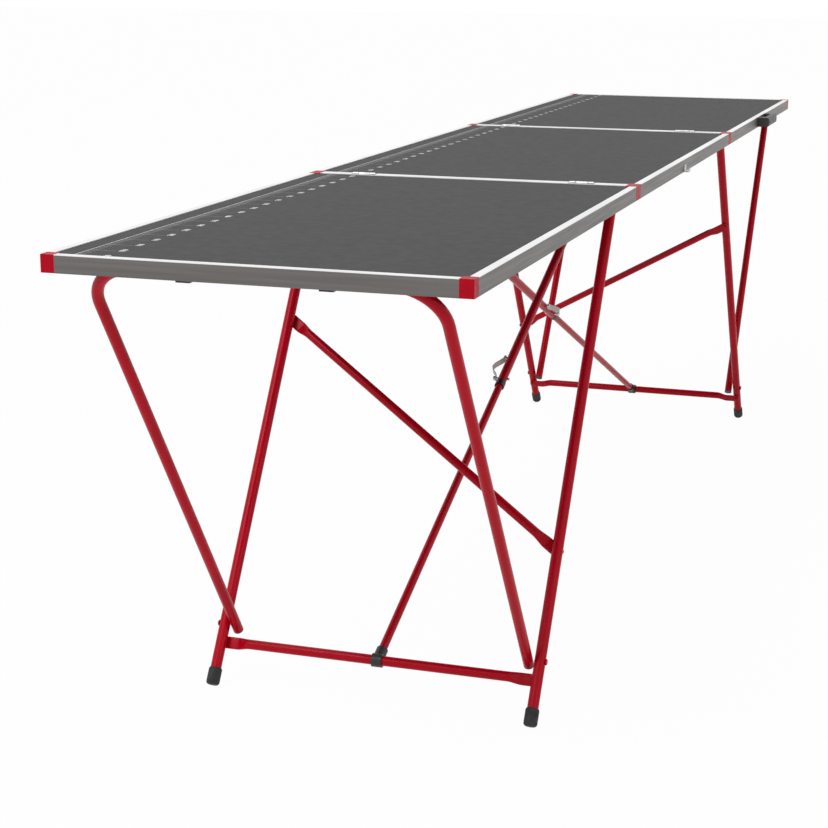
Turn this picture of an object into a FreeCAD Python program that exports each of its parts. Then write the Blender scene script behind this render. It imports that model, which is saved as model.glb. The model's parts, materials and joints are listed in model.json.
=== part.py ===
"""Folding three-section pasting table on two tubular trestles, built at full size in millimetres.

X runs along the table, Y across it and Z up from the floor. The near trestle stands at -X, and the
far trestle is the same set of pieces turned half a turn about Z.
"""
import FreeCAD, Part
import math
import os
import re

V = FreeCAD.Vector
X, Y, Z = V(1, 0, 0), V(0, 1, 0), V(0, 0, 1)

size = {
    "panel_length": 1000, "table_width": 600, "table_height": 780, "frame_height": 25,
    "rail_width": 12, "rail_wall": 2, "lip": 1, "flange": 1.5, "board": 5, "seam": 1, "cap_leg": 20,
    "tube_radius": 9, "tube_wall": 1.0, "bar_wall": 1.2, "bar_radius": 8, "brace_radius": 7.5,
    "running": 0.05,
    "flat_thickness": 3, "flat_height": 20, "flat_length": 56, "flat_overhang": 6,
    "leg_edge": 32, "bow_side": 20, "leg_lean": 33.2, "leg_inset": 60, "pivot_depth": 17.5,
    "leg_top": 6, "bow_inset": 25, "joint_up": 103.4, "bow_tail": 12, "bow_radius": 8.5, "bend_radius": 70,
    "plug_length": 8, "foot_radius": 11, "foot_length": 30, "foot_round": 5, "bar_up": 74.4,
    "brace_high": 253, "brace_up": 284, "bush_radius": 11, "bush_width": 17,
    "socket_radius": 9.5, "socket_start": 9, "socket_end": 24, "stay_inner": 7, "stay_outer": 8.5,
    "stay_wall": 1.0, "stay_inset": 30, "stay_side_low": 3, "near_stay_side": 36, "far_stay_side": 120,
    "stay_top": 7,
    "stay_part": 728, "mouth_depth": 4, "mouth_gap": 0.8, "collar_radius": 9.3, "collar_length": 13,
    "pin_above": 20, "eye_gap": 0.5, "pin_radius": 2.5, "pin_length": 27, "knob_radius": 4.5,
    "knob_length": 5, "knob_round": 1.5,
    "tether_run": 64, "tether_width": 12, "tether_thickness": 1.5, "plate": 2, "plate_gap": 1,
    "bracket_width": 24, "pivot_pin": 3, "rivet_shank": 2.5, "rivet_head": 5, "rivet_dome": 2.5,
    "rivet_round": 1.5,
    "clip_width": 24, "clip_length": 20, "clip_place": 100, "clip_drop": 12,
    "hinge_place": 200, "hinge_rise": 0.5, "knuckle_radius": 2.5, "knuckle": 10, "knuckle_gap": 1,
    "hinge_pin": 1.2, "leaf_length": 12, "leaf_thickness": 2, "leaf_slot": 4.5, "leaf_middle": 20,
    "handle_length": 140, "handle_reach": 27, "handle_height": 22, "handle_grip": 12, "handle_foot": 26,
    "handle_plate": 4, "handle_round": 4.8, "handle_place": 1000, "screw_radius": 4, "screw_head": 2,
    "hook_place": -55, "hook_width": 16, "hook_reach": 10, "hook_lip": 7, "hook_sheet": 1.5,
}

doc = FreeCAD.newDocument("table")
sheet = doc.addObject("Spreadsheet::Sheet", "Sizes")
for row, (alias, number) in enumerate(size.items(), start=1):
    sheet.set(f"A{row}", alias)
    sheet.set(f"B{row}", str(number))
    sheet.setAlias(f"B{row}", alias)
doc.recompute()

aliases = re.compile(r"\b(" + "|".join(size) + r")\b")


class Size:
    """Reads a size back from the sheet by its alias."""

    def __getattr__(self, alias):
        return float(sheet.get(alias))


s = Size()
finished = []
# The handle stands out on one side, so the row is moved across by half of that to centre its box
row_origin = FreeCAD.Placement(V(0, s.handle_reach / 2, 0), FreeCAD.Rotation())


def bind(thing, **formulas):
    """Binds properties to formulas written with the sheet's aliases."""
    for name, formula in formulas.items():
        thing.setExpression(name, aliases.sub(r"Sizes.\1", str(formula)))
    return thing


def box(length, width, height, at):
    """A box with its lowest corner at a point."""
    made = bind(doc.addObject("Part::Box", "Box"), Length=length, Width=width, Height=height)
    made.Placement.Base = V(*at)
    return made


def rod(radius, height, at, along=Z):
    """A cylinder that starts at a point and runs along a direction."""
    made = bind(doc.addObject("Part::Cylinder", "Rod"), Radius=radius, Height=height)
    made.Placement = FreeCAD.Placement(V(*at), FreeCAD.Rotation(Z, along))
    return made


def cone(radius, end_radius, height, at, along=Z):
    """A cone that starts at a point and runs along a direction."""
    made = bind(doc.addObject("Part::Cone", "Cone"), Radius1=radius, Radius2=end_radius, Height=height)
    made.Placement = FreeCAD.Placement(V(*at), FreeCAD.Rotation(Z, along))
    return made


def group(pieces):
    made = doc.addObject("Part::Compound", "Group")
    made.Links = pieces
    return made


def fuse(*pieces):
    made = doc.addObject("Part::MultiFuse", "Fuse")
    made.Shapes = list(pieces)
    made.Refine = True
    return made


def cut(base, *tools):
    made = doc.addObject("Part::Cut", "Cut")
    made.Base = base
    made.Tool = tools[0] if len(tools) == 1 else group(list(tools))
    made.Refine = True
    return made


def tube(radius, wall, height, at, along=Z):
    """A round tube, open at both ends."""
    return cut(rod(radius, height, at, along), rod(f"{radius} - {wall}", height, at, along))


def rounded(base, radius, wanted):
    """Rounds the edges that a test picks out."""
    doc.recompute()
    made = doc.addObject("Part::Fillet", "Round")
    made.Base = base
    edges = enumerate(base.Shape.Edges, start=1)
    made.Edges = [(number, radius, radius) for number, edge in edges if wanted(edge)]
    return made


def node(label, thing, pose=FreeCAD.Placement()):
    """Names a finished sub-part and puts it in its place."""
    thing.Label = label
    thing.Placement = row_origin.multiply(pose).multiply(thing.Placement)
    finished.append(thing)


def turned(angle, axis=Z):
    return FreeCAD.Placement(V(0, 0, 0), FreeCAD.Rotation(axis, angle))


def moved(x, y, z):
    return FreeCAD.Placement(V(x, y, z), FreeCAD.Rotation())


# Places that several sub-parts share
half_width = s.table_width / 2
leg_span = half_width - s.leg_edge
bow_span = leg_span - s.bow_side
seam_x = s.panel_length / 2
frame_low = s.table_height - s.frame_height
board_top = s.table_height - s.lip
board_low = board_top - s.board
pivot_z = s.table_height - s.pivot_depth
leg_pivot = V(-seam_x - s.leg_inset, 0, pivot_z)
bow_pivot = V(-seam_x - s.panel_length + s.bow_inset, 0, pivot_z)
lean = math.radians(s.leg_lean)
hinge_z = s.table_height + s.hinge_rise


def from_leg(across, along):
    """A point of the trestle at rest, from its offset across the leg and distance down it."""
    x = across * math.cos(lean) - along * math.sin(lean)
    z = -across * math.sin(lean) - along * math.cos(lean)
    return leg_pivot + V(x, 0, z)


flat_outside = s.tube_radius + s.flat_thickness
bar_offset = flat_outside - s.bar_radius
foot_drop = (s.foot_radius - s.foot_round) * math.sin(lean) + s.foot_round
leg_length = (pivot_z - foot_drop) / math.cos(lean) + s.foot_round
bar_along = leg_length - s.bar_up
joint_along = leg_length - s.joint_up
brace_low = leg_length - s.brace_up
bar_centre = from_leg(bar_offset, bar_along)
joint_point = from_leg(0, joint_along)
bow_line = joint_point - bow_pivot
bow_lean = math.degrees(math.atan2(bow_line.x, -bow_line.z))
bow_reach = bow_line.Length + s.bow_tail
stay_low = V(bar_centre.x, -s.stay_side_low, bar_centre.z)


def c_rail(length, at, along_x, inward):
    """One frame rail: a web with a lip over the board and a flange below the cavity."""
    x, y, z = at
    inside = "frame_height - lip - flange"
    shift = s.rail_wall if inward > 0 else 0
    if along_x:
        outer = box(length, "rail_width", "frame_height", (x, y, z))
        space = box(length, "rail_width - rail_wall", inside, (x, y + shift, z + s.flange))
    else:
        outer = box("rail_width", length, "frame_height", (x, y, z))
        space = box("rail_width - rail_wall", length, inside, (x + shift, y, z + s.flange))
    return cut(outer, space)


def hinge_slots(seam):
    """Room in the tops of two panels for the butt hinges that join them."""
    half = s.leaf_middle / 2 + s.knuckle_gap + s.knuckle + s.knuckle_gap
    across = "leaf_middle + 2 * knuckle + 4 * knuckle_gap"
    low = hinge_z - s.knuckle_radius
    places = [(seam - s.leaf_length, side * s.hinge_place - half, low) for side in (-1, 1)]
    return [box("2 * leaf_length", across, "4 * knuckle_radius", place) for place in places]


def panel(centre, seams):
    """A section of the worktop: board, rails and corner caps."""
    low_x = centre - seam_x + s.seam / 2
    high_x = centre + seam_x - s.seam / 2
    run = "panel_length - seam - 2 * cap_leg"
    wall = s.rail_wall
    plate = box("panel_length - seam - 2 * rail_wall", "table_width - 2 * rail_wall", "board",
                (low_x + wall, -half_width + wall, board_low))
    sides = [c_rail(run, (low_x + s.cap_leg, -half_width, frame_low), True, 1),
             c_rail(run, (low_x + s.cap_leg, half_width - s.rail_width, frame_low), True, -1)]
    across = "table_width - 2 * cap_leg"
    ends = [c_rail(across, (low_x, -half_width + s.cap_leg, frame_low), False, 1),
            c_rail(across, (high_x - s.rail_width, -half_width + s.cap_leg, frame_low), False, -1)]
    caps = []
    for x, step in ((low_x, 1), (high_x - s.cap_leg, 0)):
        for y, rise in ((-half_width, 1), (half_width - s.cap_leg, 0)):
            outer = box("cap_leg", "cap_leg", "frame_height", (x, y, frame_low))
            room = box("cap_leg - rail_wall", "cap_leg - rail_wall", "frame_height - lip - flange",
                       (x + step * wall, y + rise * wall, frame_low + s.flange))
            caps.append(cut(outer, room))
    for seam in seams:
        plate = cut(plate, *hinge_slots(seam))
        ends = [cut(end, *hinge_slots(seam)) for end in ends]
    return plate, sides, ends, caps


def worktop():
    near = panel(-s.panel_length, [-seam_x])
    far = panel(s.panel_length, [seam_x])
    middle = panel(0, [-seam_x, seam_x])
    for name, (plate, sides, ends, caps) in (("near", near), ("middle", middle), ("far", far)):
        node(f"{name}_board", plate)
        node(f"{name}_side_rails", group(sides))
        node(f"{name}_end_rails", group(ends))
        node(f"{name}_corner_caps", group(caps))


def butt_hinges(name, turn):
    """Two butt hinges let into the tops of the sections at a seam."""
    middle, end, pins = [], [], []
    low = hinge_z - s.knuckle_radius
    inner = s.leaf_middle / 2
    outer = inner + s.knuckle_gap
    plate_length = "leaf_length - leaf_slot"
    plate_width = "leaf_middle + 2 * knuckle + 2 * knuckle_gap"
    for side in (-1, 1):
        y = side * s.hinge_place
        plate_y = y - outer - s.knuckle
        parts = [box(plate_length, plate_width, "leaf_thickness", (seam_x - s.leaf_length, plate_y, low))]
        for start in (-outer - s.knuckle, outer):
            parts.append(box("leaf_slot", "knuckle", "leaf_thickness", (seam_x - s.leaf_slot, y + start, low)))
            parts.append(rod("knuckle_radius", "knuckle", (seam_x, y + start, hinge_z), Y))
        bore = rod("hinge_pin", plate_width, (seam_x, plate_y, hinge_z), Y)
        middle.append(cut(fuse(*parts), bore))
        parts = [box(plate_length, plate_width, "leaf_thickness", (seam_x + s.leaf_slot, plate_y, low)),
                 box("leaf_slot", "leaf_middle", "leaf_thickness", (seam_x, y - inner, low)),
                 rod("knuckle_radius", "leaf_middle", (seam_x, y - inner, hinge_z), Y)]
        bore = rod("hinge_pin + running", "leaf_middle", (seam_x, y - inner, hinge_z), Y)
        end.append(cut(fuse(*parts), bore))
        pins.append(rod("hinge_pin", plate_width, (seam_x, plate_y, hinge_z), Y))
    node(f"{name}_middle_leaves", group(middle), turn)
    node(f"{name}_hinge_leaves", group(end), turn)
    node(f"{name}_hinge_pins", group(pins), turn)


def flat_ended_bar(radius, length, offset_radius):
    """A tube along Y, centred, with both ends pressed flat on the side that faces away from the legs."""
    half = length / 2
    axis = flat_outside - offset_radius
    flat = s.flat_length
    parts = [tube(radius, "bar_wall", f"{length} - 2 * flat_length", (axis, -half + flat, 0), Y)]
    for start in (-half, half - flat - s.tube_radius):
        parts.append(box("flat_thickness", "flat_length + tube_radius", "flat_height",
                         (s.tube_radius, start, -s.flat_height / 2)))
    return fuse(*parts)


def rivet(at, along, shank):
    """A dome-headed rivet: the head stands on a face and the shank runs back into the work."""
    x, y, z = at
    back = V(along).multiply(-shank)
    head = rounded(rod("rivet_head", "rivet_dome", at, along), s.rivet_round,
                   lambda edge: edge.Curve.TypeId == "Part::GeomCircle"
                   and (edge.Curve.Center - V(*at)).Length > s.rivet_dome / 2)
    return fuse(head, rod("rivet_shank", shank, (x + back.x, y + back.y, z + back.z), along))


def shank_hole(at, along, shank):
    x, y, z = at
    back = V(along).multiply(-shank)
    return rod("rivet_shank", shank, (x + back.x, y + back.y, z + back.z), along)


def leg_rivet_places():
    """Where the leg frame is riveted: head place, direction and shank length."""
    through = flat_outside
    places = []
    for side in (-1, 1):
        outside = side * (leg_span + s.tube_radius)
        places.append(((0, outside, -joint_along), V(0, side, 0), 2 * s.tube_radius))
        places.append(((flat_outside, side * leg_span, -bar_along), X, through))
        along = s.brace_high if side > 0 else brace_low
        places.append(((flat_outside, side * leg_span, -along), X, through))
    return places


def leg_frame(name, turn):
    """The straight-legged frame that carries the feet."""
    pose = turn.multiply(moved(*leg_pivot)).multiply(turned(s.leg_lean, Y))
    places = leg_rivet_places()
    legs = []
    feet = []
    for side in (-1, 1):
        y = side * leg_span
        pipe = tube("tube_radius", "tube_wall", f"{leg_length} - foot_round + leg_top",
                    (0, y, s.foot_round - leg_length))
        pivot = rod("pivot_pin + running", "4 * tube_radius", (0, y - 2 * s.tube_radius, 0), Y)
        legs.append(cut(pipe, pivot, *[shank_hole(*place) for place in places if place[0][1] * side > 0]))
        sock = rod("foot_radius", "foot_length", (0, y, -leg_length))
        bottom = rounded(sock, s.foot_round, lambda edge: edge.Curve.TypeId == "Part::GeomCircle")
        room = rod("tube_radius", "foot_length", (0, y, s.foot_round - leg_length))
        feet.append(cut(bottom, room))
    span = 2 * (leg_span + s.flat_overhang)
    bar = flat_ended_bar("bar_radius", span, s.bar_radius)
    bar.Placement.Base = V(0, 0, -bar_along)
    drop = brace_low - s.brace_high
    rise = 2 * leg_span
    slope = math.degrees(math.atan2(drop, rise))
    brace = flat_ended_bar("brace_radius", math.hypot(drop, rise) + 2 * s.flat_overhang, s.brace_radius)
    middle = V(0, 0, -(brace_low + s.brace_high) / 2)
    brace.Placement = FreeCAD.Placement(middle, FreeCAD.Rotation(X, slope))
    holes = [shank_hole(*place) for place in places if place[1].x > 0]
    node(f"{name}_legs", group(legs), pose)
    node(f"{name}_feet", group(feet), pose)
    node(f"{name}_crossbar", cut(bar, *holes), pose)
    node(f"{name}_brace", cut(brace, *[shank_hole(*place) for place in places if place[1].x > 0]), pose)
    node(f"{name}_rivets", group([rivet(*place) for place in places]), pose)


def leg_brackets(name, turn):
    """Plates under the end section that hold the legs' top pivots."""
    plates = []
    pins = []
    gap = s.tube_radius + s.plate_gap
    drop = f"{board_low - pivot_z} + bracket_width / 2"
    for side in (-1, 1):
        y = side * leg_span
        for start in (-gap - s.plate, gap):
            at = (leg_pivot.x - s.bracket_width / 2, y + start, pivot_z - s.bracket_width / 2)
            cheek = box("bracket_width", "plate", drop, at)
            hole = rod("pivot_pin", "plate", (leg_pivot.x, y + start, pivot_z), Y)
            plates.append(cut(cheek, hole))
        pins.append(rod("pivot_pin", "2 * tube_radius + 2 * plate_gap + 2 * plate",
                        (leg_pivot.x, y - gap - s.plate, pivot_z), Y))
    node(f"{name}_leg_brackets", group(plates + pins), turn)


def bow(name, turn):
    """The bent tube that props the leg frame from the end of the section."""
    pose = turn.multiply(moved(*bow_pivot)).multiply(turned(-bow_lean, Y))
    bend = s.bend_radius
    straight = bow_reach - bend
    solid = []
    hollow = []
    for radius, made in (("bow_radius", solid), ("bow_radius - tube_wall", hollow)):
        made.append(rod(radius, f"{2 * bow_span} - 2 * bend_radius", (0, -bow_span + bend, 0), Y))
        for side, start in ((-1, 180), (1, 90)):
            made.append(rod(radius, straight, (0, side * bow_span, -bow_reach)))
            corner = bind(doc.addObject("Part::Torus", "Bend"), Radius1="bend_radius", Radius2=radius)
            corner.Angle3 = 90
            corner.Placement = FreeCAD.Placement(V(0, side * (bow_span - bend), -bend),
                                                 FreeCAD.Rotation(V(0, 1, 0), V(0, 0, 1), V(1, 0, 0), "ZXY"))
            spin = FreeCAD.Rotation(X, 0 if side > 0 else 90)
            corner.Placement.Rotation = spin.multiply(corner.Placement.Rotation)
            made.append(corner)
    node(f"{name}_bow", cut(fuse(*solid), fuse(*hollow)), pose)
    plugs = []
    for side in (-1, 1):
        y = side * bow_span
        plugs.append(fuse(rod("bow_radius - tube_wall", "2 * plug_length", (0, y, -bow_reach)),
                          rod("bow_radius", "plug_length / 4", (0, y, -bow_reach - s.plug_length / 4))))
    node(f"{name}_bow_plugs", group(plugs), pose)
    clips = []
    for side in (-1, 1):
        y = side * s.clip_place - s.clip_length / 2
        low = pivot_z - s.clip_drop
        corner = (bow_pivot.x - s.clip_width / 2, y, low)
        block = box("clip_width", "clip_length", f"{board_low - low}", corner)
        clips.append(cut(block, rod("bow_radius + running", "clip_length", (bow_pivot.x, y, pivot_z), Y)))
    node(f"{name}_bow_clips", group(clips), turn)


def stay(name, turn, side):
    """The tie from the crossbar to the middle section, in two tubes with a lock pin."""
    high = V(seam_x - s.stay_inset, -side, pivot_z)
    length = (high - stay_low).Length
    way = (high - stay_low).normalize()

    def along(distance):
        return stay_low + V(way).multiply(distance)

    start = s.socket_start + s.bar_radius
    ring = rod("bush_radius", "bush_width", stay_low - Y * (s.bush_width / 2), Y)
    bore = rod("bar_radius + running", "2 * bush_width", stay_low - Y * s.bush_width, Y)
    socket = rod("socket_radius", "socket_end", along(0), way)
    seat = rod("stay_inner", "socket_end", along(start), way)
    node(f"{name}_stay_bush", cut(fuse(ring, socket), group([bore, seat])), turn)
    node(f"{name}_stay_lower_tube",
         tube("stay_inner", "stay_wall", f"stay_part - {start}", along(start), way), turn)
    head = s.stay_part - s.mouth_depth
    base = head + 2 * s.mouth_depth
    body = rod("collar_radius", "collar_length", along(head), way)
    mouth = cone("stay_inner + 2 * mouth_gap", "stay_inner + mouth_gap", "2 * mouth_depth", along(head), way)
    seat = rod("stay_outer", "collar_length", along(base), way)
    node(f"{name}_stay_collar", cut(body, group([mouth, seat])), turn)
    pipe = tube("stay_outer", "stay_wall", f"{length - base} + stay_top", along(base), way)
    pivot = rod("pivot_pin + running", "4 * stay_outer", high - Y * (2 * s.stay_outer), Y)
    pin_place = along(s.stay_part + s.pin_above)
    hole = rod("pin_radius + running", "4 * stay_outer", pin_place - Y * (2 * s.stay_outer), Y)
    node(f"{name}_stay_upper_tube", cut(pipe, pivot, hole), turn)
    shaft = rod("pin_radius", "pin_length", pin_place - Y * (s.pin_length / 2), Y)
    knob = rounded(rod("knob_radius", "knob_length", pin_place + Y * (s.pin_length / 2), Y), s.knob_round,
                   lambda edge: edge.Curve.TypeId == "Part::GeomCircle")
    node(f"{name}_lock_pin", fuse(shaft, knob), turn)
    tether(name, turn, pin_place, way)
    stay_bracket(name, turn, high)


def tether(name, turn, pin_place, way):
    """The flat strap that keeps the pin with its tube, with the stud that holds it."""
    strap_y = s.stay_outer + s.pivot_pin
    yaw = FreeCAD.Rotation(X, V(way.x, way.y, 0))
    tilt = FreeCAD.Rotation(Y, -math.degrees(math.asin(way.z)))
    strap = box("tether_run + tether_width", "tether_thickness", "tether_width",
                (-s.tether_width / 2, strap_y, -s.tether_width / 2))
    eye_shift = strap_y * way.y / math.hypot(way.x, way.y)
    eye_start = (eye_shift, strap_y - s.tether_thickness / 2, 0)
    eye = rod("pin_radius + eye_gap", "2 * tether_thickness", eye_start, Y)
    stud_hole = rod("rivet_shank", "tether_thickness", (s.tether_run, strap_y, 0), Y)
    pose = turn.multiply(FreeCAD.Placement(pin_place, yaw.multiply(tilt)))
    node(f"{name}_tether", cut(strap, eye, stud_hole), pose)
    stud = rod("rivet_shank", "pivot_pin + tether_thickness", (s.tether_run, s.stay_outer, 0), Y)
    head = rod("rivet_head", "rivet_dome / 2", (s.tether_run, strap_y + s.tether_thickness, 0), Y)
    node(f"{name}_tether_stud", fuse(stud, head), pose)


def stay_bracket(name, turn, high):
    """Plates under the middle section that hold the upper tube's pivot."""
    gap = s.stay_outer + s.plate_gap
    low = pivot_z - s.bracket_width / 2
    plates = []
    for start in (-gap - s.plate, gap):
        at = (high.x - s.bracket_width / 2, high.y + start, low)
        cheek = box("bracket_width", "plate", f"{board_low - low}", at)
        plates.append(cut(cheek, rod("pivot_pin", "plate", (high.x, high.y + start, pivot_z), Y)))
    pin = rod("pivot_pin", "2 * stay_outer + 2 * plate_gap + 2 * plate", high - Y * (gap + s.plate), Y)
    node(f"{name}_stay_bracket", group(plates + [pin]), turn)


def handle():
    """The carrying handle on the far section's front rail."""
    x = s.handle_place - s.handle_length / 2
    y = -half_width
    z = frame_low + (s.frame_height - s.handle_height) / 2
    block = rounded(box("handle_length", "handle_reach", "handle_height", (x, y - s.handle_reach, z)),
                    s.handle_round, lambda edge: edge.BoundBox.YMax < y - 1)
    room = box("handle_length - 2 * handle_foot", "handle_reach - handle_grip", "handle_height",
               (x + s.handle_foot, y - s.handle_reach + s.handle_grip, z))
    pockets = []
    screws = []
    for place in (x + s.handle_foot / 2, x + s.handle_length - s.handle_foot / 2):
        middle = z + s.handle_height / 2
        seat = (place, y - s.handle_plate, middle)
        pockets.append(rod("screw_radius + running", "handle_reach", seat, V(0, -1, 0)))
        screws.append(rod("screw_radius", "screw_head", seat, V(0, -1, 0)))
    node("handle", cut(block, room, *pockets))
    node("handle_screws", group(screws))


def hook():
    """The small sheet hook on the middle section's front rail."""
    x = s.hook_place - s.hook_width / 2
    y = -half_width
    back = box("hook_width", "hook_sheet", "2 * hook_lip", (x, y - s.hook_sheet, frame_low))
    shelf = box("hook_width", "hook_reach", "hook_sheet", (x, y - s.hook_reach, frame_low))
    lip = box("hook_width", "hook_sheet", "hook_lip", (x, y - s.hook_reach, frame_low))
    node("transport_hook", fuse(back, shelf, lip))


worktop()
butt_hinges("near", turned(180))
butt_hinges("far", turned(0))
trestles = (("near", turned(0), s.near_stay_side), ("far", turned(180), s.far_stay_side))
for trestle, half_turn, stay_side in trestles:
    leg_frame(trestle, half_turn)
    leg_brackets(trestle, half_turn)
    bow(trestle, half_turn)
    stay(trestle, half_turn, stay_side)
handle()
hook()

doc.recompute()
faults = [thing.Label for thing in doc.Objects if {"Invalid", "Error"} & set(thing.State)]
faults += [thing.Label for thing in finished if thing.Shape.isNull() or not thing.Shape.isValid()]
if faults:
    raise RuntimeError("not sound: " + ", ".join(faults))
os.makedirs("parts", exist_ok=True)
for thing in finished:
    thing.Shape.exportStep(f"parts/{thing.Label}.step")
print(len(finished), "sub-parts")
for name, point in (("bar centre", bar_centre), ("bow joint", joint_point)):
    print(name, [round(value, 2) for value in point])
print("bow lean", round(bow_lean, 3), "leg length", round(leg_length, 2))
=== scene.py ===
import json
import math

import bmesh
import bpy
from mathutils import Matrix, Vector


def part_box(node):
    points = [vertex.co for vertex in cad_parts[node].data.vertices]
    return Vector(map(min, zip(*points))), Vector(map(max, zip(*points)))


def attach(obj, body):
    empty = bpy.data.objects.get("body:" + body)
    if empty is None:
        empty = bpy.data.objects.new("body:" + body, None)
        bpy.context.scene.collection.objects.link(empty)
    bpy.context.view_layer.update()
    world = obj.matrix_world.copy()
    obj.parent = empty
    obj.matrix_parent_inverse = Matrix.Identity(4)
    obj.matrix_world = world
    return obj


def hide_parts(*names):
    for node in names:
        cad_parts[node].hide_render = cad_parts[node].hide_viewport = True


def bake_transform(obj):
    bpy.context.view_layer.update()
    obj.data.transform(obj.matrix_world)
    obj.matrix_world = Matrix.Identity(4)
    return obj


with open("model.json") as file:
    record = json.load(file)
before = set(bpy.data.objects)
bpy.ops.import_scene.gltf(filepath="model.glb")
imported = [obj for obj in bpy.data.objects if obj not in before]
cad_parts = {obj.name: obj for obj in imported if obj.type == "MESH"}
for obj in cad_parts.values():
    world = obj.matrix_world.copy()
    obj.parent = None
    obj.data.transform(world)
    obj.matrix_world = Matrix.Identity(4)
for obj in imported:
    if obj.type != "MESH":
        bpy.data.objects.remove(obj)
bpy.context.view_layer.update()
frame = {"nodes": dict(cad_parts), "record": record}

print("frame loaded,", len(frame["nodes"]), "nodes")


# Finishes, one dictionary each; colours are linear
finishes = {
    "board": {"dark": (0.050, 0.050, 0.0505), "light": (0.054, 0.054, 0.0545), "toneScale": 40.0,
              "metal": 0.0, "specular": 0.1, "rough": (0.57, 0.62), "roughScale": 60.0,
              "grain": 900.0, "bump": 0.06},
    "aluminium": {"dark": (0.150, 0.140, 0.136), "light": (0.185, 0.174, 0.169), "toneScale": 30.0,
                  "stretch": (0.15, 0.15, 6), "metal": 1.0, "rough": (0.40, 0.52), "roughScale": 60.0,
                  "grain": 1400.0, "bump": 0.05,
                  # the top-lip colours below are a painted reflection: the aluminium top is painted near
                  # white, brighter than its sides
                  "sheenHeight": 0.7790, "sheenDark": (0.80, 0.80, 0.81), "sheenLight": (0.90, 0.90, 0.91)},
    "red_plastic": {"dark": (0.420, 0.0005, 0.010), "light": (0.470, 0.001, 0.014), "toneScale": 60.0,
                    "metal": 0.0, "specular": 0.10, "rough": (0.34, 0.46), "roughScale": 120.0,
                    "grain": 1600.0, "bump": 0.05},
    "red_steel": {"dark": (0.450, 0.0002, 0.010), "light": (0.510, 0.0005, 0.014), "toneScale": 7.0,
                  "metal": 0.0, "specular": 0.13, "rough": (0.24, 0.34), "roughScale": 35.0,
                  "grain": 420.0, "bump": 0.08},
    "zinc_steel": {"dark": (0.46, 0.46, 0.47), "light": (0.66, 0.66, 0.68), "toneScale": 160.0,
                   "metal": 1.0, "rough": (0.26, 0.44), "roughScale": 240.0, "grain": 900.0, "bump": 0.06},
    "rubber": {"dark": (0.008, 0.008, 0.008), "light": (0.018, 0.018, 0.017), "toneScale": 70.0,
               "metal": 0.0, "rough": (0.62, 0.82), "roughScale": 90.0, "grain": 1300.0, "bump": 0.18},
    "black_plastic": {"dark": (0.009, 0.009, 0.010), "light": (0.017, 0.017, 0.018), "toneScale": 50.0,
                      "metal": 0.0, "rough": (0.38, 0.52), "roughScale": 110.0,
                      "grain": 1500.0, "bump": 0.12},
    "grey_strap": {"dark": (0.60, 0.56, 0.54), "light": (0.70, 0.66, 0.63), "toneScale": 120.0,
                   "metal": 0.0, "rough": (0.50, 0.66), "roughScale": 140.0, "grain": 1100.0, "bump": 0.10},
    "number_print": {"dark": (0.84, 0.84, 0.84), "light": (0.92, 0.92, 0.92), "toneScale": 130.0,
                     "metal": 0.0, "rough": (0.52, 0.66), "roughScale": 90.0, "grain": 900.0, "bump": 0.02},
    "ruler_print": {"dark": (0.20, 0.20, 0.20), "light": (0.25, 0.25, 0.25), "toneScale": 130.0,
                    "metal": 0.0, "rough": (0.52, 0.66), "roughScale": 90.0, "grain": 900.0, "bump": 0.02},
}


def noiseOn(tree, coords, scale, stretch):
    mapping = tree.nodes.new("ShaderNodeMapping")
    mapping.inputs["Scale"].default_value = stretch
    noise = tree.nodes.new("ShaderNodeTexNoise")
    noise.inputs["Scale"].default_value = scale
    noise.inputs["Detail"].default_value = 4.0
    tree.links.new(coords.outputs["Object"], mapping.inputs["Vector"])
    tree.links.new(mapping.outputs["Vector"], noise.inputs["Vector"])
    return noise.outputs["Fac"]


def toneRamp(tree, fac, dark, light):
    ramp = tree.nodes.new("ShaderNodeValToRGB")
    ends = ramp.color_ramp.elements
    ends[0].position, ends[1].position = 0.35, 0.65
    ends[0].color = (*dark, 1)
    ends[1].color = (*light, 1)
    tree.links.new(fac, ramp.inputs["Fac"])
    return ramp.outputs["Color"]


def paintedTopSheen(tree, coords, tone, fac, look):
    # painted highlight: the top lip of the aluminium profile, above a given height, is painted near white,
    # much brighter than its sides, as a painted reflection of the white surroundings
    split = tree.nodes.new("ShaderNodeSeparateXYZ")
    above = tree.nodes.new("ShaderNodeMath")
    above.operation = "GREATER_THAN"
    above.inputs[1].default_value = look["sheenHeight"]
    mix = tree.nodes.new("ShaderNodeMix")
    mix.data_type = "RGBA"
    tree.links.new(coords.outputs["Object"], split.inputs["Vector"])
    tree.links.new(split.outputs["Z"], above.inputs[0])
    tree.links.new(above.outputs["Value"], mix.inputs["Factor"])
    tree.links.new(tone, mix.inputs["A"])
    tree.links.new(toneRamp(tree, fac, look["sheenDark"], look["sheenLight"]), mix.inputs["B"])
    return mix.outputs["Result"]


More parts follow.
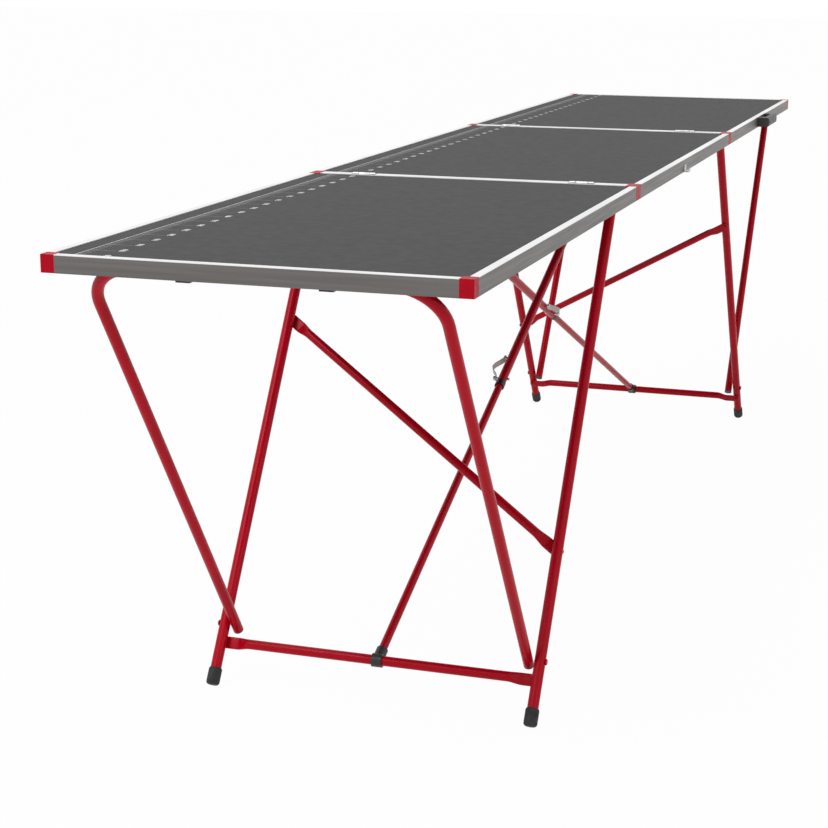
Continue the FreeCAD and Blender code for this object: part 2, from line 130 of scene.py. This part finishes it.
def makeFinish(name, look):
    material = bpy.data.materials.new(name)
    material.use_nodes = True
    tree = material.node_tree
    shader = tree.nodes["Principled BSDF"]
    shader.inputs["Metallic"].default_value = look["metal"]
    shader.inputs["Specular IOR Level"].default_value = look.get("specular", 0.5)
    coords = tree.nodes.new("ShaderNodeTexCoord")
    stretch = look.get("stretch", (1, 1, 1))
    fac = noiseOn(tree, coords, look["toneScale"], stretch)
    tone = toneRamp(tree, fac, look["dark"], look["light"])
    # painted highlight: the top of the aluminium gets the near-white painted reflection colour
    if "sheenHeight" in look:
        tone = paintedTopSheen(tree, coords, tone, fac, look)
    tree.links.new(tone, shader.inputs["Base Color"])
    spread = tree.nodes.new("ShaderNodeMapRange")
    spread.inputs["From Min"].default_value = 0.35
    spread.inputs["From Max"].default_value = 0.65
    spread.inputs["To Min"].default_value, spread.inputs["To Max"].default_value = look["rough"]
    tree.links.new(noiseOn(tree, coords, look["roughScale"], stretch), spread.inputs["Value"])
    tree.links.new(spread.outputs["Result"], shader.inputs["Roughness"])
    bump = tree.nodes.new("ShaderNodeBump")
    bump.inputs["Strength"].default_value = look["bump"]
    bump.inputs["Distance"].default_value = 0.0004
    tree.links.new(noiseOn(tree, coords, look["grain"], stretch), bump.inputs["Height"])
    tree.links.new(bump.outputs["Normal"], shader.inputs["Normal"])
    return material


madeFinishes = {name: makeFinish(name, look) for name, look in finishes.items()}
for row in frame["record"]["subparts"]:
    part = frame["nodes"][row["node"]]
    part.data.materials.clear()
    part.data.materials.append(madeFinishes[row["material_slot"]])
print("finishes made,", len(madeFinishes))


def addPiece(name, mesh, finish, body=None, smoothAngle=None):
    mesh.materials.clear()
    mesh.materials.append(madeFinishes[finish])
    if smoothAngle is not None:
        mesh.polygons.foreach_set("use_smooth", [True] * len(mesh.polygons))
        mesh.set_sharp_from_angle(angle=math.radians(smoothAngle))
    piece = bpy.data.objects.new(name, mesh)
    bpy.context.scene.collection.objects.link(piece)
    if body:
        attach(piece, body)
    return piece


# Where each trestle stands: the far one is the near one turned half a turn about the row's middle line
rowCentre = Vector((0, 0.0135, 0))
trestles = {"near": Matrix.Translation(rowCentre),
            "far": Matrix.Translation(rowCentre) @ Matrix.Rotation(math.pi, 4, "Z")}

# The ruler printed along the back edge of each board
ruler = {"start": 0.0085, "pitch": 0.001, "ticks": 981, "inset": 0.0400,
         "fineWidth": 0.00022, "longWidth": 0.0013,
         "fine": 0.013, "five": 0.017, "ten": 0.021, "long": 0.039, "ink": 0.00012, "lineWidth": 0.0012,
         "numberEvery": 50, "digit": 0.0115, "digitBold": 0.0004, "digitGap": 0.0022}


def tickTree():
    tree = bpy.data.node_groups.new("rulerTicks", "GeometryNodeTree")
    sockets = {}
    for name, kind in (("Count", "Int"), ("Pitch", "Float"), ("Start", "Vector"), ("Fine width", "Float"),
                       ("Long width", "Float"), ("Fine", "Float"), ("Five", "Float"), ("Ten", "Float"),
                       ("Long", "Float"), ("Ink", "Float"), ("Finish", "Material")):
        socket = tree.interface.new_socket(name, in_out="INPUT", socket_type="NodeSocket" + kind)
        sockets[name] = socket.identifier
    tree.interface.new_socket("Geometry", in_out="OUTPUT", socket_type="NodeSocketGeometry")
    given = tree.nodes.new("NodeGroupInput").outputs
    link = tree.links.new
    step = tree.nodes.new("ShaderNodeCombineXYZ")
    link(given["Pitch"], step.inputs["X"])
    line = tree.nodes.new("GeometryNodeMeshLine")
    link(given["Count"], line.inputs["Count"])
    link(given["Start"], line.inputs["Start Location"])
    link(step.outputs["Vector"], line.inputs["Offset"])
    index = tree.nodes.new("GeometryNodeInputIndex").outputs["Index"]

    def chosen(every, usual, special):
        modulo = tree.nodes.new("FunctionNodeIntegerMath")
        modulo.operation = "MODULO"
        modulo.inputs[1].default_value = every
        link(index, modulo.inputs[0])
        same = tree.nodes.new("FunctionNodeCompare")
        same.data_type, same.operation = "INT", "EQUAL"
        link(modulo.outputs["Value"], same.inputs[2])
        switch = tree.nodes.new("GeometryNodeSwitch")
        switch.input_type = "FLOAT"
        link(same.outputs["Result"], switch.inputs["Switch"])
        link(usual, switch.inputs["False"])
        link(special, switch.inputs["True"])
        return switch.outputs["Output"]

    length = chosen(5, given["Fine"], given["Five"])
    length = chosen(10, length, given["Ten"])
    length = chosen(50, length, given["Long"])
    width = chosen(50, given["Fine width"], given["Long width"])
    scale = tree.nodes.new("ShaderNodeCombineXYZ")
    link(width, scale.inputs["X"])
    link(length, scale.inputs["Y"])
    link(given["Ink"], scale.inputs["Z"])
    cube = tree.nodes.new("GeometryNodeMeshCube")
    shift = tree.nodes.new("GeometryNodeTransform")
    shift.inputs["Translation"].default_value = (0, -0.5, 0.5)
    link(cube.outputs["Mesh"], shift.inputs["Geometry"])
    onPoints = tree.nodes.new("GeometryNodeInstanceOnPoints")
    link(line.outputs["Mesh"], onPoints.inputs["Points"])
    link(shift.outputs["Geometry"], onPoints.inputs["Instance"])
    link(scale.outputs["Vector"], onPoints.inputs["Scale"])
    real = tree.nodes.new("GeometryNodeRealizeInstances")
    link(onPoints.outputs["Instances"], real.inputs["Geometry"])
    inked = tree.nodes.new("GeometryNodeSetMaterial")
    link(real.outputs["Geometry"], inked.inputs["Geometry"])
    link(given["Finish"], inked.inputs["Material"])
    link(inked.outputs["Geometry"], tree.nodes.new("NodeGroupOutput").inputs["Geometry"])
    return tree, sockets


def plainMesh(host):
    made = bpy.data.meshes.new_from_object(host.evaluated_get(bpy.context.evaluated_depsgraph_get()))
    host.modifiers.clear()
    bpy.data.objects.remove(host)
    return made


def ticksMesh(tree, sockets, start):
    host = bpy.data.objects.new("ticksHost", bpy.data.meshes.new("ticksHost"))
    bpy.context.scene.collection.objects.link(host)
    modifier = host.modifiers.new("ticks", "NODES")
    modifier.node_group = tree
    values = {"Count": ruler["ticks"], "Pitch": ruler["pitch"], "Start": start,
              "Fine width": ruler["fineWidth"], "Long width": ruler["longWidth"],
              "Fine": ruler["fine"], "Five": ruler["five"], "Ten": ruler["ten"],
              "Long": ruler["long"], "Ink": ruler["ink"], "Finish": madeFinishes["ruler_print"]}
    for name, value in values.items():
        modifier[sockets[name]] = value
    return plainMesh(host)


def numberMesh(text, place):
    words = bpy.data.curves.new("number", "FONT")
    words.body = text
    words.size = ruler["digit"]
    words.offset = ruler["digitBold"]
    words.align_x, words.align_y = "LEFT", "TOP"
    host = bpy.data.objects.new("numberHost", words)
    bpy.context.scene.collection.objects.link(host)
    made = plainMesh(host)
    made.transform(Matrix.Translation(place))
    return made


def meshFrom(shape, name):
    mesh = bpy.data.meshes.new(name)
    shape.to_mesh(mesh)
    shape.free()
    return mesh


def boxInto(shape, low, high):
    made = bmesh.ops.create_cube(shape, size=1)["verts"]
    centre = [(a + b) / 2 for a, b in zip(low, high)]
    extent = [b - a for a, b in zip(low, high)]
    bmesh.ops.scale(shape, vec=extent, verts=made)
    bmesh.ops.translate(shape, vec=centre, verts=made)


def printRuler(panel, tree, sockets):
    low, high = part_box(panel + "_board")
    start = Vector((low.x + ruler["start"], high.y - ruler["inset"], high.z))
    shape = bmesh.new()
    shape.from_mesh(ticksMesh(tree, sockets, start))
    body = "middle" if panel == "middle" else panel + "_panel"
    mesh = meshFrom(shape, panel + "_ruler")
    addPiece(panel + "_ruler", mesh, "ruler_print", body)
    below = start.y - ruler["long"] - ruler["digitGap"]
    run = (ruler["ticks"] - 1) * ruler["pitch"]
    half = ruler["lineWidth"] / 2
    numbers = bmesh.new()
    lineEnd = start + Vector((run, half, ruler["ink"]))
    boxInto(numbers, start - Vector((0, half, 0)), lineEnd)
    for count in range(0, ruler["ticks"] - 1, ruler["numberEvery"]):
        place = Vector((start.x + count * ruler["pitch"] - ruler["longWidth"], below, start.z + ruler["ink"]))
        numbers.from_mesh(numberMesh(f"{count:03d}", place))
    mesh = meshFrom(numbers, panel + "_numbers")
    addPiece(panel + "_numbers", mesh, "number_print", body)


rulerTree, rulerSockets = tickTree()
for panelName in ("near", "middle", "far"):
    printRuler(panelName, rulerTree, rulerSockets)
print("rulers printed")


# Crossbars and braces: round tubes whose ends are pressed flat against the legs
pressedBars = {"pivot": (-0.56, 0, 0.7625), "lean": 33.2, "outside": 0.012,
               "flatThickness": 0.003, "flatHeight": 0.020,
               "flatStart": 0.030, "roundStart": 0.056, "sides": 28, "steps": 9, "endRound": 0.009}
barRows = {"crossbar": {"radius": 0.008, "half": 0.274, "along": 0.83195, "slope": 0.0},
           "brace": {"radius": 0.0075, "half": math.hypot(0.36935, 0.536) / 2 + 0.006, "along": 0.437675,
                     "slope": math.degrees(math.atan2(0.36935, 0.536))}}


def barRing(y, press, radius, squeeze):
    # press goes from a round section to a flat one; squeeze narrows the very end
    bars = pressedBars
    across = radius + (bars["flatThickness"] / 2 - radius) * press
    tall = (radius + (bars["flatHeight"] / 2 - radius) * press) * squeeze
    centre = bars["outside"] - across
    power = 1 - 0.55 * press
    ring = []
    for count in range(bars["sides"]):
        angle = 2 * math.pi * count / bars["sides"]
        c, d = math.cos(angle), math.sin(angle)
        x = centre + across * math.copysign(abs(c) ** power, c)
        ring.append((x, y, tall * math.copysign(abs(d) ** power, d)))
    return ring


def pressedBarMesh(name, row):
    bars = pressedBars
    stations = []
    for count in range(5):
        turn = math.pi / 2 * count / 4
        y = row["half"] - bars["endRound"] * (1 - math.cos(turn))
        stations.append((y, 1.0, 0.5 + 0.5 * math.sin(turn)))
    for count in range(bars["steps"] + 1):
        part = count / bars["steps"]
        smooth = part * part * (3 - 2 * part)
        y = row["half"] - bars["flatStart"] - (bars["roundStart"] - bars["flatStart"]) * part
        stations.append((y, 1 - smooth, 1.0))
    stations += [(-y, press, squeeze) for y, press, squeeze in reversed(stations)]
    shape = bmesh.new()
    rings = []
    for y, press, squeeze in stations:
        rings.append([shape.verts.new(point) for point in barRing(y, press, row["radius"], squeeze)])
    for near, far in zip(rings, rings[1:]):
        for a in range(bars["sides"]):
            b = (a + 1) % bars["sides"]
            shape.faces.new((near[a], near[b], far[b], far[a]))
    shape.faces.new(rings[0])
    shape.faces.new(rings[-1])
    bmesh.ops.recalc_face_normals(shape, faces=shape.faces)
    return meshFrom(shape, name)


for end, stand in trestles.items():
    for kind, row in barRows.items():
        mesh = pressedBarMesh(end + "_" + kind + "_tube", row)
        lean = Matrix.Rotation(math.radians(pressedBars["lean"]), 4, "Y")
        slope = Matrix.Rotation(math.radians(row["slope"]), 4, "X")
        place = stand @ Matrix.Translation(pressedBars["pivot"]) @ lean
        place = place @ Matrix.Translation((0, 0, -row["along"])) @ slope
        mesh.transform(place)
        bar = addPiece(end + "_" + kind + "_tube", mesh, "red_steel", end + "_leg", 40)
        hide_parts(end + "_" + kind)
print("pressed bars made")


# The strap that keeps each lock pin with its tube
pinStrap = {"width": 0.012, "pinWidth": 0.009, "thickness": 0.0014, "bulge": 0.015,
            "over": 0.006, "steps": 44,
            "shaftGap": 0.0002, "knob": 0.005, "standOff": 0.003}


def strapMesh(name, stud, pin, outward):
    strap = pinStrap
    run = pin - stud
    length = run.length
    along = run.normalized()
    aside = along.cross(outward).normalized()
    shape = bmesh.new()
    rings = []
    for count in range(strap["steps"] + 1):
        travel = -strap["over"] + (length + 2 * strap["over"]) * count / strap["steps"]
        part = min(max(travel / length, 0), 1)
        beyond = max(-travel, travel - length, 0) / strap["over"]
        width = strap["width"] + (strap["pinWidth"] - strap["width"]) * part
        width *= math.sqrt(max(1 - beyond * beyond, 0.02))
        lift = strap["bulge"] * math.sin(math.pi * part) ** 2
        slope = strap["bulge"] * math.sin(2 * math.pi * part) * math.pi / length
        tangent = (along + outward * slope).normalized()
        normal = aside.cross(tangent).normalized()
        centre = stud + along * travel + outward * lift
        half, thick = width / 2, strap["thickness"] / 2
        rings.append([shape.verts.new(centre + aside * a + normal * b)
                      for a, b in ((-half, -thick), (half, -thick), (half, thick), (-half, thick))])
    for near, far in zip(rings, rings[1:]):
        for a in range(4):
            b = (a + 1) % 4
            shape.faces.new((near[a], near[b], far[b], far[a]))
    shape.faces.new(rings[0])
    shape.faces.new(rings[-1])
    bmesh.ops.recalc_face_normals(shape, faces=shape.faces)
    return meshFrom(shape, name)


for end, side in (("near", 1), ("far", -1)):
    outward = Vector((0, side, 0))
    studLow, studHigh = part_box(end + "_tether_stud")
    pinLow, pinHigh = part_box(end + "_lock_pin")
    studFoot = studLow.y if side > 0 else studHigh.y
    pinTop = pinHigh.y if side > 0 else pinLow.y
    halfThick = pinStrap["thickness"] / 2
    stud = Vector(((studLow.x + studHigh.x) / 2, studFoot + side * (pinStrap["standOff"] + halfThick),
                   (studLow.z + studHigh.z) / 2))
    underKnob = pinStrap["knob"] + pinStrap["shaftGap"] + halfThick
    pin = Vector(((pinLow.x + pinHigh.x) / 2, pinTop - side * underKnob, (pinLow.z + pinHigh.z) / 2))
    mesh = strapMesh(end + "_pin_strap", stud, pin, outward)
    strap = addPiece(end + "_pin_strap", mesh, "grey_strap", smoothAngle=50)
    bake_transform(strap)
    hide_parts(end + "_tether")
print("straps made")


# Floor, light and camera
studio = {"floorSize": 60.0, "floorDrop": 0.0004, "floorTone": 0.9, "whiteShare": 0.97, "fill": 0.55,
          "key": {"place": (-3.4, 1.8, 4.6), "size": 3.2, "power": 120.0},
          "side": {"place": (-2.4, -4.2, 2.2), "size": 2.6, "power": 14.0}, "aim": (-0.2, 0.0, 0.5)}
photoCamera = {"place": (-3.7017, -0.9285, 1.1771), "forward": (0.92265, 0.30157, -0.24037), "roll": 0.2,
               "focalPixels": 1888.2, "imageWidth": 828, "sensor": 36.0}


def plainRays(tree):
    # what the camera, and metal or glass, see of the surroundings
    path = tree.nodes.new("ShaderNodeLightPath")
    total = path.outputs["Is Camera Ray"]
    for name in ("Is Glossy Ray", "Is Transmission Ray"):
        add = tree.nodes.new("ShaderNodeMath")
        add.operation = "ADD"
        add.use_clamp = True
        tree.links.new(total, add.inputs[0])
        tree.links.new(path.outputs[name], add.inputs[1])
        total = add.outputs["Value"]
    return total


def makeFloor():
    half = studio["floorSize"] / 2
    mesh = bpy.data.meshes.new("floor")
    z = -studio["floorDrop"]
    corners = [(-half, -half, z), (half, -half, z), (half, half, z), (-half, half, z)]
    mesh.from_pydata(corners, [], [(0, 1, 2, 3)])
    floor = bpy.data.objects.new("floor", mesh)
    bpy.context.scene.collection.objects.link(floor)
    material = bpy.data.materials.new("paleFloor")
    material.use_nodes = True
    tree = material.node_tree
    tree.nodes.clear()
    pale = tree.nodes.new("ShaderNodeBsdfDiffuse")
    pale.inputs["Color"].default_value = (*[studio["floorTone"]] * 3, 1)
    white = tree.nodes.new("ShaderNodeEmission")
    share = tree.nodes.new("ShaderNodeMath")
    share.operation = "MULTIPLY"
    share.inputs[1].default_value = studio["whiteShare"]
    tree.links.new(plainRays(tree), share.inputs[0])
    mix = tree.nodes.new("ShaderNodeMixShader")
    tree.links.new(share.outputs["Value"], mix.inputs["Fac"])
    tree.links.new(pale.outputs["BSDF"], mix.inputs[1])
    tree.links.new(white.outputs["Emission"], mix.inputs[2])
    tree.links.new(mix.outputs["Shader"], tree.nodes.new("ShaderNodeOutputMaterial").inputs["Surface"])
    mesh.materials.append(material)


def makeWorld():
    world = bpy.data.worlds.new("studio")
    bpy.context.scene.world = world
    world.use_nodes = True
    tree = world.node_tree
    tree.nodes.clear()
    fill = tree.nodes.new("ShaderNodeBackground")
    fill.inputs["Color"].default_value = (1, 1, 1, 1)
    fill.inputs["Strength"].default_value = studio["fill"]
    white = tree.nodes.new("ShaderNodeBackground")
    white.inputs["Color"].default_value = (1, 1, 1, 1)
    mix = tree.nodes.new("ShaderNodeMixShader")
    tree.links.new(plainRays(tree), mix.inputs["Fac"])
    tree.links.new(fill.outputs["Background"], mix.inputs[1])
    tree.links.new(white.outputs["Background"], mix.inputs[2])
    tree.links.new(mix.outputs["Shader"], tree.nodes.new("ShaderNodeOutputWorld").inputs["Surface"])


def makeLamp(name, row):
    lamp = bpy.data.lights.new(name, "AREA")
    lamp.shape = "DISK"
    lamp.size = row["size"]
    lamp.energy = row["power"]
    holder = bpy.data.objects.new(name, lamp)
    holder.location = row["place"]
    holder.rotation_euler = (Vector(studio["aim"]) - Vector(row["place"])).to_track_quat("-Z", "Y").to_euler()
    bpy.context.scene.collection.objects.link(holder)


def makeCamera():
    lens = bpy.data.cameras.new("photoCamera")
    lens.sensor_width = photoCamera["sensor"]
    lens.lens = photoCamera["focalPixels"] * photoCamera["sensor"] / photoCamera["imageWidth"]
    lens.clip_end = 200
    holder = bpy.data.objects.new("photoCamera", lens)
    holder.location = photoCamera["place"]
    level = Vector(photoCamera["forward"]).to_track_quat("-Z", "Y").to_matrix()
    holder.rotation_euler = (level @ Matrix.Rotation(math.radians(photoCamera["roll"]), 3, "Z")).to_euler()
    bpy.context.scene.collection.objects.link(holder)
    bpy.context.scene.camera = holder


makeFloor()
makeWorld()
makeLamp("keyLamp", studio["key"])
makeLamp("sideLamp", studio["side"])
makeCamera()
bpy.context.scene.view_settings.view_transform = "Standard"
print("studio ready")
